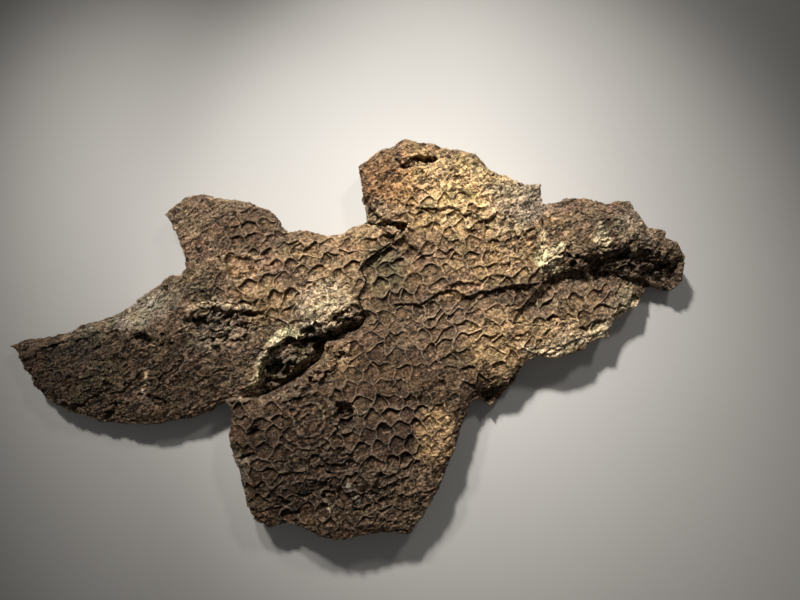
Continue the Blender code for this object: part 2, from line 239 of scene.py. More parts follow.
def wander(plan, size, channel):
    """Smooth noise from -1 to 1 over the plan; each channel is its own pattern."""
    cell = np.floor(plan / size).astype(np.int64)
    part = plan / size - cell
    ease = part * part * (3 - 2 * part)

    def corner(right, up):
        place = (cell[:, 0] + right) * HASH_STEPS[0] + (cell[:, 1] + up) * HASH_STEPS[1]
        key = place + channel * HASH_STEPS[2]
        key = ((key ^ (key >> 13)) * HASH_MIX) & 0x7FFFFFFF
        return ((key ^ (key >> 15)) & 0xFFFF) / 32767.5 - 1

    lower = corner(0, 0) * (1 - ease[:, 0]) + corner(1, 0) * ease[:, 0]
    upper = corner(0, 1) * (1 - ease[:, 0]) + corner(1, 1) * ease[:, 0]
    return lower * (1 - ease[:, 1]) + upper * ease[:, 1]


def strayed(plan, kind, number=0, scale=1):
    """The plan's points moved by a trace's noise, and by half as much at a third of the size."""
    reach, size, channel = TRACES[kind]
    size = size * scale
    channel = channel + CHANNEL_STEP * number
    offset = np.stack([wander(plan, size, channel), wander(plan, size, channel + 1)], axis=1)
    finer = np.stack([wander(plan, size / 3, channel + 2), wander(plan, size / 3, channel + 3)], axis=1)
    return plan + reach * scale * (offset + 0.5 * finer)


def near(plan, places, reach):
    """Which points of the plan lie within reach of the places' box."""
    places = np.array(places, float)
    inside = (plan > places.min(axis=0) - reach) & (plan < places.max(axis=0) + reach)
    return np.flatnonzero(inside.all(axis=1))


def along_line(plan, line):
    """Each point's distance to the line, positive on its left, and from there to its nearer end."""
    line = np.array(line, float)
    starts = line[:-1]
    spans = line[1:] - starts
    lengths = np.sqrt((spans * spans).sum(axis=1))
    before = np.concatenate([[0], np.cumsum(lengths)[:-1]])
    best = np.full(len(plan), np.inf)
    side = np.ones(len(plan))
    gone = np.zeros(len(plan))
    for start, span, length, done in zip(starts, spans, lengths, before):
        offset = plan - start
        share = np.clip(offset @ span / length**2, 0, 1)
        away = offset - share[:, None] * span
        distance = np.sqrt((away * away).sum(axis=1))
        nearer = distance < best
        best = np.where(nearer, distance, best)
        cross = span[0] * offset[:, 1] - span[1] * offset[:, 0]
        side = np.where(nearer, np.where(cross < 0, -1.0, 1.0), side)
        gone = np.where(nearer, done + share * length, gone)
    return best * side, np.minimum(gone, lengths.sum() - gone)


def within(plan, outline, soft):
    """1 inside the closed outline and 0 outside, eased this far on either side of it."""
    outline = np.array(outline, float)
    ends = np.roll(outline, -1, axis=0)
    crossings = np.zeros(len(plan), bool)
    for (x, y), (end_x, end_y) in zip(outline, ends):
        if y == end_y:
            continue
        spans = (y > plan[:, 1]) != (end_y > plan[:, 1])
        crossings ^= spans & (plan[:, 0] < (end_x - x) * (plan[:, 1] - y) / (end_y - y) + x)
    distance = np.abs(along_line(plan, np.vstack([outline, outline[:1]]))[0])
    return smooth(-soft, soft, np.where(crossings, distance, -distance))


def spot(plan, place, radii, turn):
    """Distance from the place, as a share of the radii of an ellipse turned by this many degrees."""
    offset = plan - np.array(place, float)
    angle = radians(turn)
    along = (offset[:, 0] * cos(angle) + offset[:, 1] * sin(angle)) / radii[0]
    across = (offset[:, 1] * cos(angle) - offset[:, 0] * sin(angle)) / radii[1]
    return np.sqrt(along * along + across * across)


# ---- relief, in centimetres from the mark

# Scarps: walking along the points, the stone stands high on the left and low on the right.
# (points, drop, width over which the low side recovers, half width of the face, high side's share)
BROAD_SCARPS = (
    # lip of the open fissure
    (((-23, -14), (-22.3, -10), (-22.5, -6), (-20.5, -3), (-17.5, -0.7), (-15, 0.5), (-13, -0.2),
      (-9, 0.8), (-7.5, 0.6), (-6, 1)), 2.6, 6, 0.3, 0),
    # and its split end
    (((-8, 1.2), (-5.5, 3.2), (-3.5, 5), (-1, 6.5), (1.5, 7.5), (3, 7.2)), 1.0, 2.5, 0.25, 0),
    # centre block's lip on the fissure
    (((3.2, 3.5), (1.3, 2.3), (-1.3, 1), (-3.8, -0.2), (-5.8, -0.5), (-6.8, -2.5), (-7.2, -4.5),
      (-9.5, -6.8), (-11.8, -9.3), (-15, -11.8), (-18.8, -14.3), (-22, -15.3)), 2.0, 8, 0.4, 0),
    # ledge between the left lobe and the fin
    (((-42.3, 4), (-40, 6), (-37.5, 7.5), (-34, 8.2), (-31, 7.2), (-27.5, 7), (-25, 7.2), (-22, 6.5),
      (-19.5, 5.5), (-17, 4.5)), 0.55, 7, 0.4, 0),
    # slope across the right block, steeper further on
    (((48, 18), (52.5, 19.5), (56.5, 21), (60, 22), (64, 22)), 1.0, 14, 2.6, 0),
    (((58, 19), (62, 21.5), (66, 23.2), (69, 23), (72.5, 22), (77.5, 21), (83, 19)), 2.0, 14, 1.8, 0),
    # undercut below that slope
    (((47.8, 14), (51.5, 15.3), (54, 17), (57.5, 17.8), (62.5, 17.6), (65.5, 17), (68, 17), (71, 16),
      (73.5, 15.3), (76.5, 13.5)), 1.5, 5, 0.35, 0),
    # drop under the waist's fold, toward the joint
    (((32, 11.8), (37.5, 13), (42.5, 13.8), (49, 14)), 0.35, 6, 0.3, 0),
    # facet on the top lobe's corner
    (((3.5, 36.8), (5, 34.3), (6.5, 31.8), (8.3, 29.5)), 2.4, 5, 0.4, 0),
    (((7.5, 30), (9, 29.5), (11.5, 29.4), (14.5, 28.3)), 0.4, 3, 0.3, 0),
    # wedge broken from the centre block's lower right
    (((32, -14.5), (33.5, -13), (36.3, -11.8), (39.5, -11.3), (42, -7.5)), 2.8, 5, 0.3, 0),
    # ledge under the right block's rim
    (((65.5, 6.3), (68, 7), (71.5, 7.3)), 1.8, 6, 0.4, 0),
    # step beside the joint under the top lobe
    (((3.8, 19.5), (6.3, 21), (8.8, 22.5), (10.5, 23.8), (12.5, 25.5)), 0.8, 6, 0.35, 0.2),
    # ridges on the fin, above and below its trough
    (((-58, 0.5), (-60.5, -1.3), (-63.3, -3), (-67.5, -5), (-70, -6.5)), 1.2, 7, 0.6, 0.2),
    (((-83, -5.5), (-78.8, -3.8), (-76.3, -2), (-72.5, -0.8), (-69, 0), (-63, 2), (-57, 2.4)),
     1.1, 6, 0.4, 0.1),
)
# Bevels: walking along the points, the stone slopes away on the right.
# (points, width of the slope, fall over it)
BROAD_BEVELS = (
    # top edge of the fin
    (((-41.3, 11.3), (-43, 8.8), (-47.5, 6), (-52.5, 4.5), (-57.5, 4.5), (-62.5, 4.3), (-66.3, 2.8),
      (-70, 1), (-72.5, -1.3), (-77.5, -2.3), (-83, -4.5)), 5, 2.2),
)
# Pits: (place, half lengths, turn in degrees, depth, how much of them is wall)
BROAD_PITS = (
    ((-19.5, -6.5), (3.0, 2.2), 35, 3.6, 0.35),
    ((-10.8, 0), (2.8, 1.1), 10, 3.0, 0.4),
    ((18.5, 45.4), (3.4, 0.75), -2, 3.0, 0.35),
    ((14.5, 44), (2.4, 0.9), 25, 1.2, 0.4),
    ((-1.3, -19.3), (2.6, 3.2), 0, 2.6, 0.4),
    ((-38, 4.4), (2.6, 1.2), -10, 2.2, 0.4),
    ((-30.3, 6.2), (2.0, 0.9), 25, 1.9, 0.4),
    ((-25.4, 6.5), (1.7, 0.7), -10, 1.4, 0.4),
    ((-34.5, 4.6), (1.2, 0.8), 0, 1.2, 0.4),
    ((-23.8, -23), (2.4, 1.4), 40, 1.2, 0.6),
    ((-26, -29.3), (2.6, 0.8), 12, 1.5, 0.5),
    ((-52, 0.2), (2.4, 1.3), -10, 1.8, 0.5),
    ((-48, -15.2), (2.6, 0.9), -28, 1.3, 0.5),
    ((-60, -18), (3.2, 1.2), 48, 1.2, 0.6),
    # bites out of the fissure's lip
    ((-9.2, -8.4), (1.9, 0.9), 50, 1.3, 0.6),
    ((-14.6, -12.6), (2.2, 0.8), 28, 1.3, 0.6),
    ((-5.2, -2.6), (1.5, 0.7), 80, 1.0, 0.6),
    ((1.2, 1.2), (1.8, 0.7), 40, 1.0, 0.6),
)
# Rock left standing: (place, half lengths, turn in degrees, rise, how much of them is slope)
BROAD_BULGES = (
    # split layers in the fissure's upper arm
    ((-2.2, 4.6), (5.4, 1.25), 31, 2.9, 0.5),
    ((1.4, 5.0), (2.2, 0.7), 28, 1.6, 0.5),
    # rock in its wide lower end
    ((-13.2, -6.4), (4.2, 1.5), 38, 2.0, 0.5),
    # left block's edge under the top lobe
    ((10.8, 27.2), (5, 2), -8, 1.0, 0.8),
)
FINE_SCARPS = (
    # folds across the centre block's waist
    (((10, 8.8), (13.8, 8.8), (17, 9), (19.5, 10.3), (22, 11.5), (24.5, 12.5), (27, 12), (29.5, 10.8),
      (32.5, 11.8), (37.5, 13), (42.5, 14), (47.5, 14)), 0.85, 6, 0.3, 0.3),
    (((22.5, 13.5), (26.3, 14), (30, 14.3), (33.5, 14)), 0.6, 3, 0.25, 0.3),
    (((33.5, 15.5), (36, 16.3), (38.8, 15.8), (41.3, 13.8), (45, 12.5)), 0.6, 3, 0.25, 0.3),
    # layers' edges on the top lobe
    (((12.5, 34.3), (15.5, 34), (17, 33.3), (20, 33.3), (22.5, 32.5), (24.5, 33.5), (27, 32.5),
      (28.8, 31.5), (30.5, 31.5), (32.5, 30), (35, 30.5), (36.8, 32)), 0.7, 5, 0.25, 0.4),
    (((28, 28), (30, 27.3), (32.5, 27.6)), 0.9, 2, 0.25, 0.2),
    (((33.5, 24.3), (35.5, 25), (38.8, 24.8), (41.3, 26), (43.8, 27.3), (47, 28)), 0.6, 4, 0.25, 0.4),
    (((15, 38.3), (16.5, 37.8), (18.5, 37.9)), 0.5, 2, 0.25, 0.3),
    (((25, 40.3), (28, 41.3), (30.5, 41.8)), 0.4, 2, 0.25, 0.3),
    # pale layer's edge on the left block
    (((-15, 10.5), (-11.8, 12.5), (-8, 14.8), (-5, 16)), 0.45, 4, 0.25, 0.5),
    # layers along the fissure's lip
    (((-13, 2.2), (-9, 2.6), (-6, 4.2), (-3, 6.3), (0.5, 8.4), (3, 9.3)), 0.6, 2.5, 0.2, 0.3),
    (((-7, 1.9), (-4.5, 3.6), (-2, 4.9), (0.5, 6.2)), 0.7, 2, 0.2, 0.2),
    # steps under the top lobe
    (((13, 26), (15.5, 23.5), (18.5, 21), (20, 19.5)), 0.8, 4, 0.3, 0.3),
    (((7.5, 18.5), (9.5, 18.8), (10.8, 20.3), (13.8, 20.8)), 0.5, 3, 0.25, 0.3),
    (((20, 20.5), (25, 20.3), (30, 20), (33, 20.5)), 0.35, 3, 0.25, 0.4),
    # layer's edge toward the lower right
    (((43.5, -5.5), (45, -2.5), (47, -0.5), (48.8, 1.8), (51, 4)), 0.4, 3, 0.25, 0.4),
)
# Cracks: (points, width, depth)
CRACKS = (
    (((11, 45.5), (12.8, 44), (13.8, 43), (16.3, 43.5)), 0.35, 0.8),
    (((-52.8, -13.5), (-50.5, -14.5), (-48.5, -15.8), (-46.3, -16)), 0.4, 0.9),
    (((41.3, 12.3), (43.5, 11.3), (45, 10.8)), 0.3, 0.5),
    (((38.3, 8.3), (41, 8.6), (43, 8.5)), 0.3, 0.5),
    (((8.8, 29.5), (11.5, 29.5)), 0.4, 0.6),
    (((12.5, 28.8), (14.5, 28.8)), 0.3, 0.5),
    (((65.5, 30.5), (65.8, 28), (66.5, 25.5)), 1.6, 0.8),
    (((-26.5, 28), (-29.5, 32.5)), 0.3, 0.4),
)
FINE_PITS = (
    ((-26.8, 18.3), (5.4, 3.1), 0, 0.75, 0.2),
    ((-24.3, 17.3), (1.1, 1.2), 0, 0.7, 0.8),
    ((-6.3, 10.5), (0.9, 0.9), 0, 0.5, 0.8),
    ((11.5, 13.5), (1.0, 0.8), 0, 0.7, 0.7),
    ((0.9, -1), (1.3, 1.2), 45, 0.7, 0.5),
    ((23.3, -10.8), (0.9, 0.8), 0, 0.6, 0.8),
    ((8.8, -22.5), (0.9, 0.8), 0, 0.6, 0.8),
    ((15.3, 27.3), (0.9, 0.5), -30, 0.6, 0.7),
    ((34.3, 28.2), (0.7, 0.5), 0, 0.8, 0.6),
)
# Rings round the largest scales: (place, radii, height, width)
RINGS = (
    ((-10.5, -20), (6.6, 7.0), 0.45, 0.5),
    ((-10.3, -20), (3.9, 4.2), 0.5, 0.4),
    ((-10.2, -20.2), (2.0, 2.2), 0.3, 0.35),
    ((42.5, 2), (2.1, 2.0), 0.2, 0.3),
    ((-26.8, 18.3), (5.7, 3.3), 0.15, 0.4),
)
FINE_BULGES = (
    ((15.5, 44.8), (1.9, 1.1), 20, 0.7, 0.9),
)


def scarp_shift(plan, scarps, kind):
    shift = np.zeros(len(plan))
    for number, (line, drop, recovery, half_width, high_share) in enumerate(scarps):
        chosen = near(plan, line, recovery + 2)
        distance, from_end = along_line(strayed(plan[chosen], kind, number), line)
        face = smooth(-half_width, half_width, distance)
        low = -drop * (1 - high_share) * (1 - face) * (1 - smooth(0, recovery, -distance))
        high = drop * high_share * face * (1 - smooth(0, recovery, distance))
        shift[chosen] += (low + high) * smooth(0, END_FADE, from_end)
    return shift


def bevel_shift(plan, bevels, kind):
    shift = np.zeros(len(plan))
    for number, (line, width, fall) in enumerate(bevels):
        chosen = near(plan, line, 3 * width)
        distance, from_end = along_line(strayed(plan[chosen], kind, number), line)
        slope = np.clip(-distance / width, 0, BEVEL_RUN)
        shift[chosen] -= fall * slope * smooth(0, 2 * END_FADE, from_end)
    return shift


def pit_shift(plan, pits, kind):
    shift = np.zeros(len(plan))
    for number, (place, radii, turn, depth, wall) in enumerate(pits):
        chosen = near(plan, [place], 2 * max(radii))
        uneven = strayed(plan[chosen], kind, number, min(radii))
        edge = smooth(1 - wall, 1 + PIT_LIP * wall, spot(uneven, place, radii, turn))
        shift[chosen] -= depth * (1 - edge)
    return shift


def crack_shift(plan, cracks, kind):
    shift = np.zeros(len(plan))
    for number, (line, width, depth) in enumerate(cracks):
        chosen = near(plan, line, 4 * width)
        distance, from_end = along_line(strayed(plan[chosen], kind, number), line)
        shift[chosen] -= depth * np.exp(-((distance / width) ** 2)) * smooth(0, CRACK_FADE, from_end)
    return shift


def ring_shift(plan, rings, kind):
    shift = np.zeros(len(plan))
    for number, (place, radii, height, width) in enumerate(rings):
        chosen = near(plan, [place], 2 * max(radii))
        uneven = strayed(plan[chosen], kind, number)
        distance = (spot(uneven, place, radii, 0) - 1) * min(radii)
        shift[chosen] += height * np.exp(-((distance / width) ** 2))
    return shift


def lowered(points, shift):
    """Points with the skin face moved by the shift in centimetres; the sides follow and the back stays."""
    share = np.clip(points[:, 2] / FOLLOW_HEIGHT, 0, 1)
    moved = points.copy()
    moved[:, 2] += shift * CM * share
    return moved


def plan_of(points):
    """Where each point is read off in the survey, in centimetres from the mark."""
    spread = (SIGHT_HEIGHT - READ_HEIGHT) / (SIGHT_HEIGHT - points[:, 2:])
    sighted = (points[:, :2] - np.array(SIGHT_POINT)) * spread + np.array(SIGHT_POINT)
    return (sighted - np.array(SURVEY_MARK)) / CM


# ---- skin, bare rock and colours

# Patches of scales: (outline, depth of the hollows in millimetres, share of it at their shallow end, height
# of the ridges in millimetres)
SKIN_PATCHES = (
    # left block
    (((-33.5, 19.5), (-32, 22.5), (-30.5, 25), (-29.5, 31), (-27.5, 33), (-22, 33), (-18.8, 31),
      (-16.3, 27), (-12.5, 27.5), (-5, 27), (0, 28), (5.5, 29.5), (8.8, 29), (12.5, 26.5), (10.5, 24),
      (4.5, 20.5), (3, 19.5), (3, 10), (3, 6.3), (-5, 3), (-15, 1.3), (-17, 4.5), (-22, 6.5), (-27.5, 8),
      (-32, 9.5), (-34.5, 13.8)),
     10.0, 0.02, 0.3),
    # top lobe
    (((11.3, 36.3), (17.5, 38), (25, 37), (32.5, 36), (37.5, 33.8), (41.3, 31.3), (47.5, 28.8), (47.5, 14),
      (37.5, 13), (29.5, 10.8), (24.5, 12.5), (18.8, 10), (17.5, 13.8), (20, 19.5), (13, 26), (12, 28.8),
      (11.3, 32.5)),
     7.5, 0.02, 0.75),
    # green corner under it
    (((13, 25.8), (20, 19.5), (17.5, 13.8), (18.8, 10), (13.8, 8.8), (7.5, 8.8), (3.8, 10), (3.8, 19.5),
      (8.8, 22.5)),
     9.5, 0.05, 0.8),
    # right of the middle
    (((19.5, 10), (29.5, 10.8), (42.5, 13.8), (49, 13.8), (52, 5), (44, -6.3), (37.5, -11.3), (32.5, -12.5),
      (30, -15), (22.5, -13.8), (20, 0)),
     7.0, 0.05, 0.9),
    # middle
    (((3.8, 8.8), (20, 9.5), (21.5, 0), (22.5, -13.8), (12.5, -15), (0, -13.8), (-6.3, -11.3), (-7, -3.8),
      (-1.3, 0.5), (3.3, 3)),
     5.0, 0.12, 1.2),
    # lower body
    (((-29, -15.5), (-18.8, -14.5), (-7.5, -10), (0, -13.8), (12.5, -15), (22.5, -13.8), (26.3, -17.5),
      (22, -25), (17, -30), (16, -40), (13, -46), (-5, -46.5), (-20, -44), (-25, -39), (-27.5, -27.5)),
     11.5, 0.1, 1.15),
    # right block
    (((48.8, 12.5), (52.5, 14.5), (62.5, 16), (72.5, 14), (72.5, 10), (67.5, 7), (62.5, 2.5), (59.5, 0.5),
      (55, 4.5), (48.8, 4.5)),
     9.0, 0.02, 0.4),
)
# Places where the scales are worn away: (place, half lengths, turn, strength)
FADED = (
    ((-6, 9.5), (9.5, 6), 15, 0.9),
    ((-10.4, -20), (6.4, 6.6), 0, 0.95),
    ((45, 27), (7, 6), 0, 0.9),
    ((22, -10), (7, 5), 0, 0.6),
    ((0, 27), (7, 4), 20, 0.6),
    ((36, 8), (5, 3), 0, 0.5),
    ((-26.8, 18.3), (5.9, 3.4), 0, 1.0),
    ((21.5, -23), (5, 9), -15, 0.6),
)
# Tones as 0 to 255 on screen, and each block's own under its stains; the darkest is painted shadow for
# holes, gaps and the fin's trough
TONES = {
    "drab": (112, 92, 72), "brown": (92, 72, 54), "umber": (66, 50, 38), "painted_shadow": (46, 38, 30),
    "tan": (168, 138, 100), "gold": (192, 162, 116), "amber": (150, 108, 66), "cream": (214, 192, 158),
    "rose": (140, 113, 90), "olive": (94, 85, 60), "sulphur": (214, 198, 158), "grey": (138, 126, 108),
    "ash": (168, 156, 138),
}
BASE_TONE = {"left_block": "drab", "centre_block": "brown", "right_block": "drab"}
# Stains laid one over another: (tone, place, half lengths, turn in degrees, strength)
STAINS = (
    # fin
    ("umber", (-65, -8), (24, 12), 5, 0.75),
    ("brown", (-45, -8), (14, 12), 0, 0.6),
    ("grey", (-53, 5.5), (16, 2.6), 28, 0.8),
    ("umber", (-67, 1.6), (8, 2.6), 15, 0.5),
    ("ash", (-53, 7), (9, 2.2), 30, 0.55),
    ("umber", (-39, -8), (12, 9), 0, 0.5),
    ("olive", (-62, -10), (8, 5), 30, 0.35),
    # painted shade in the fin's trough
    ("painted_shadow", (-69, -3), (8, 3), 15, 0.8),
    ("umber", (-79, -6), (7, 6), 0, 0.45),
    ("umber", (-50, -17), (9, 4), 0, 0.35),
    ("grey", (-34, 2), (8, 6), 0, 0.45),
    ("umber", (-36, 4), (4, 3), 0, 0.6),
    # left lobe
    ("rose", (-26, 18), (11, 7), 0, 0.55),
    ("brown", (-27.5, 27.5), (9, 6), 0, 0.85),
    ("umber", (-34, 25), (4, 3), 30, 0.2),
    ("olive", (-37, 14), (6, 7), 0, 0.35),
    ("tan", (-3, 16), (12, 8), 15, 0.4),
    ("tan", (-12, 22), (6, 5), 0, 0.3),
    ("cream", (-6, 9), (8, 6.5), 20, 0.68),
    ("tan", (2, 26.5), (9, 4), 15, 0.5),
    ("tan", (-22, 10), (9, 5), 0, 0.6),
    ("tan", (-26.8, 18.3), (5.5, 3.4), 0, 0.55),
    ("rose", (-37.5, 22), (5, 7), 0, 0.5),
    ("sulphur", (-16.3, 0.4), (5, 2.4), 30, 0.9),
    ("cream", (-9, 2.5), (6, 2), 20, 0.45),
    ("sulphur", (-21, -7), (1.6, 5), -10, 0.6),
    # painted shadow in the open fissure, its gaps and the pit at its wide end; the olive mark among them is
    # tone
    ("painted_shadow", (-2, 4.3), (6.5, 2.2), 35, 0.4),
    ("painted_shadow", (-19, -6.5), (3.4, 3), 60, 0.8),
    ("painted_shadow", (-12.5, -0.2), (4.5, 1.3), 8, 0.85),
    ("olive", (-12.5, -4.5), (4.5, 2.5), 35, 0.6),
    ("painted_shadow", (-7, -5.5), (5, 1.6), 38, 0.35),
    # painted shadow in the deep hole
    ("painted_shadow", (-1.3, -19.3), (2.6, 3.2), 0, 0.8),
    # top lobe
    ("tan", (18, 36), (14, 14), 0, 0.75),
    ("amber", (10, 40), (10, 7), 20, 0.65),
    ("brown", (7, 41), (7, 5.5), 20, 0.35),
    ("gold", (29, 38), (16, 9), -20, 0.62),
    ("gold", (28.5, 32), (12, 5), 0, 0.8),
    ("ash", (42, 33), (8, 8), 0, 0.42),
    ("tan", (36, 22), (15, 9), 0, 0.55),
    ("drab", (22.5, 25), (8, 4), 0, 0.3),
    ("grey", (6, 32), (2.5, 5), 20, 0.35),
    # waist
    ("olive", (9.5, 17), (6, 7.5), 0, 0.75),
    ("tan", (17, 16), (4, 4), 0, 0.3),
    ("tan", (27, 12.5), (7, 2.5), 5, 0.5),
    ("drab", (25, 2), (18, 9), 0, 0.75),
    ("tan", (38, -1), (10, 10), 0, 0.92),
    ("tan", (52, 2), (9, 4), -10, 0.95),
    ("cream", (54, 1.5), (5, 2.5), -10, 0.3),
    # these two cream marks are painted highlight on the lower right rim, which slopes away from the lamps
    ("cream", (48, -2.8), (6, 3), 0, 0.9),
    ("cream", (62, 2.6), (5, 2.8), 35, 0.2),
    ("tan", (-3, -6), (5, 5), 0, 0.5),
    # lower body
    ("brown", (-5, -30), (22, 16), 0, 0.7),
    ("umber", (-9, -31), (20, 15), 0, 0.6),
    ("umber", (-16, -37), (10, 8), 0, 0.4),
    ("umber", (-23, -23), (5, 5), 0, 0.65),
    ("umber", (9, -25), (7, 5.5), 0, 0.85),
    ("tan", (20.6, -24), (5, 9), -15, 0.85),
    ("drab", (14, -40), (7, 9), 0, 0.8),
    ("grey", (-27, -33), (2, 6), 10, 0.5),
    # right block
    ("tan", (52, 27), (6, 6), 0, 0.4),
    ("sulphur", (51, 20.5), (3.2, 4.5), 0, 0.92),
    ("sulphur", (63.5, 26), (2.2, 4), 15, 0.7),
    ("grey", (71, 29), (5, 5), 0, 0.45),
    ("umber", (67, 19), (14, 3.5), -5, 0.7),
    ("umber", (80, 17), (5, 4), 0, 0.3),
    ("tan", (60, 8), (8, 5), 0, 0.35),
    ("sulphur", (69, 9), (4, 4), 0, 0.4),
)
# Veins and coloured rims: (tone, points, half width, strength)
VEINS = (
    ("cream", ((-51, -7.5), (-51, -10), (-51.5, -13.8)), 0.4, 0.8),
    ("grey", ((-70, 1), (-66, 3.2), (-58, 5.3), (-48, 8)), 1.5, 0.5),
    ("cream", ((-40, 8), (-37, 9), (-33, 9.4), (-28, 8.3), (-25, 8)), 0.9, 0.6),
    ("sulphur", ((-24, -12), (-22.8, -8), (-22.4, -5), (-19.5, -2), (-16, 1), (-12, 1.5)), 0.9, 0.85),
    ("sulphur", ((48, 27), (48, 18.5)), 0.8, 0.8),
    ("rose", ((20, 13.2), (26, 13.9), (33, 13.2)), 0.9, 0.7),
    ("cream", ((-6.5, -19), (-4.5, -16), (0, -16.5), (3, -19)), 0.5, 0.25),
    ("cream", ((-28, -15), (-20, -14.8), (-14, -12)), 0.5, 0.2),
    ("umber", ((-21, -14.5), (-14, -10.8), (-8, -7.2), (-5, -4)), 0.7, 0.6),
    ("ash", ((-6.6, -40), (-6.2, -42), (-4.8, -43.3)), 0.3, 0.8),
    ("ash", ((-0.5, -36.5), (1.2, -38.5), (2.4, -41)), 0.5, 0.7),
    ("ash", ((3.8, -38.5), (5.5, -39.5), (7.5, -38.3)), 0.4, 0.7),
    ("cream", ((46, -3.5), (50, -2.5), (54, -1), (60, 0.8), (64, 3.5), (67, 6), (71, 8.5)), 1.3, 0.75),
)
# Places of rough broken rock: (place, half lengths, turn, strength)
RUGGED = (
    ((-33, 3.5), (10, 4.5), 0, 1.0),
    ((66, 20), (17, 4.5), -3, 1.0),
    ((-13, -6), (11, 4.5), 36, 1.0),
    ((-1.3, -19.3), (3, 3.6), 0, 0.8),
    ((-62, -8), (22, 11), 5, 0.2),
    ((42, 25), (6.5, 8), -20, 0.4),
    ((8, 31), (3, 6), 25, 0.7),
    ((-7, 3.5), (10, 2.6), 28, 0.9),
    ((-9, -8.5), (12, 2.8), 38, 1.0),
    ((-4, -36), (21, 11), 0, 0.3),
)


def linear(colour):
    """A colour of 0 to 255 on screen as the linear light that shaders work in."""
    share = np.array(colour, float) / 255
    return np.where(share <= 0.04045, share / 12.92, ((share + 0.055) / 1.055) ** 2.4)


def painted(plan, base):
    """Each point's colour: the base tone under the stains and veins."""
    colour = np.tile(linear(TONES[base]), (len(plan), 1))
    uneven = strayed(strayed(plan, "stains"), "stain rims")
    for tone, place, radii, turn, strength in STAINS:
        share = strength * (1 - smooth(*STAIN_EDGE, spot(uneven, place, radii, turn)))
        colour += (linear(TONES[tone]) - colour) * share[:, None]
    uneven = strayed(plan, "veins")
    for tone, line, half_width, strength in VEINS:
        chosen = near(plan, line, 3 * half_width)
        distance = along_line(uneven[chosen], line)[0]
        share = strength * np.exp(-((distance / half_width) ** 2))
        colour[chosen] += (linear(TONES[tone]) - colour[chosen]) * share[:, None]
    return colour


def strength_at(plan, places, kind):
    """The strongest of the places' strengths at each point of the plan."""
    uneven = strayed(plan, kind)
    found = np.zeros(len(plan))
    for place, radii, turn, strength in places:
        share = strength * (1 - smooth(*PLACE_EDGE, spot(uneven, place, radii, turn)))
        found = np.maximum(found, share)
    return found


# ---- objects and node trees


def added(name, data):
    thing = bpy.data.objects.new(name, data)
    bpy.context.scene.collection.objects.link(thing)
    return thing


def operators(operation):
    """An operator and its reflected form, which add the node for this operation."""

    def straight(self, other):
        return self.maths(operation, self, other)

    def reflected(self, other):
        return self.maths(operation, other, self)

    return straight, reflected


class Wire:
    """A socket of a node tree; arithmetic on it adds the node that works it out."""

    __add__, __radd__ = operators("ADD")
    __sub__, __rsub__ = operators("SUBTRACT")
    __mul__, __rmul__ = operators("MULTIPLY")
    __truediv__, __rtruediv__ = operators("DIVIDE")
    __pow__, __rpow__ = operators("POWER")

    def __init__(self, tree, socket):
        self.tree = tree
        self.socket = socket

    @property
    def is_vector(self):
        return self.socket.type in ("VECTOR", "RGBA")

    def maths(self, operation, *values):
        vector = any(isinstance(value, tuple) or getattr(value, "is_vector", False) for value in values)
        kind = "ShaderNodeVectorMath" if vector else "ShaderNodeMath"
        output = "Vector" if vector and operation != "DOT_PRODUCT" else "Value"
        return self.tree.node(kind, {"operation": operation}, dict(enumerate(values)), output)

    def least(self, other):
        return self.maths("MINIMUM", self, other)

    def most(self, other):
        return self.maths("MAXIMUM", self, other)

    def between(self, low, high):
        return self.most(low).least(high)

    def dot(self, other):
        return self.maths("DOT_PRODUCT", self, other)

    def eased(self, low, high):
        """The S that smooth gives."""
        values = {"Value": self, "From Min": low, "From Max": high}
        return self.tree.node("ShaderNodeMapRange", {"interpolation_type": "SMOOTHSTEP"}, values)

    def bell(self, width):
        """1 where this is 0, falling to nothing past the width on either side."""
        share = self / width
        return self.maths("EXPONENT", share * share * -1)


class Tree:
    """Adds nodes to a node tree."""

    def __init__(self, data):
        self.data = data

    def feed(self, made, values):
        """Fills or links a node's inputs."""
        for key, value in values.items():
            socket = made.inputs[key]
            if isinstance(value, Wire):
                self.data.links.new(value.socket, socket)
            elif socket.type == "VECTOR" and isinstance(value, (int, float)):
                socket.default_value = (value, value, value)
            elif socket.type == "RGBA":
                socket.default_value = (*value[:3], 1)
            else:
                socket.default_value = value

    def node(self, kind, settings=None, values=None, output=0):
        """Adds a node, sets it up, feeds it and gives back one of its outputs, if it has any."""
        made = self.data.nodes.new(kind)
        for name, setting in (settings or {}).items():
            setattr(made, name, setting)
        self.feed(made, values or {})
        return Wire(self, made.outputs[output]) if len(made.outputs) else None

    def noise(self, place, size, detail=2.0, roughness=0.5, colour=False):
        """Smooth noise of this grain size, centred on 0: a number, or a vector."""
        values = {"Vector": place, "Scale": 1 / size, "Detail": detail, "Roughness": roughness}
        middle = (0.5, 0.5, 0.5) if colour else 0.5
        return self.node("ShaderNodeTexNoise", {}, values, "Color" if colour else 0) - middle

    def sway(self, place, size, reach):
        """Vector noise of this size, to move a place by; the reach scales it."""
        return self.noise(place, size, colour=True) * reach

    def mixed(self, share, first, second):
        """The first colour where share is 0 and the second where it is 1."""
        values = {"Factor": share, MIX_FIRST: first, MIX_SECOND: second}
        return self.node("ShaderNodeMix", {"data_type": "RGBA"}, values, MIX_RESULT)


def weighed(layers, recipe):
    """The recipe's start and each of its layers times that layer's share, added up."""
    total, shares = recipe
    for name, share in shares.items():
        total = total + layers[name] * share
    return total


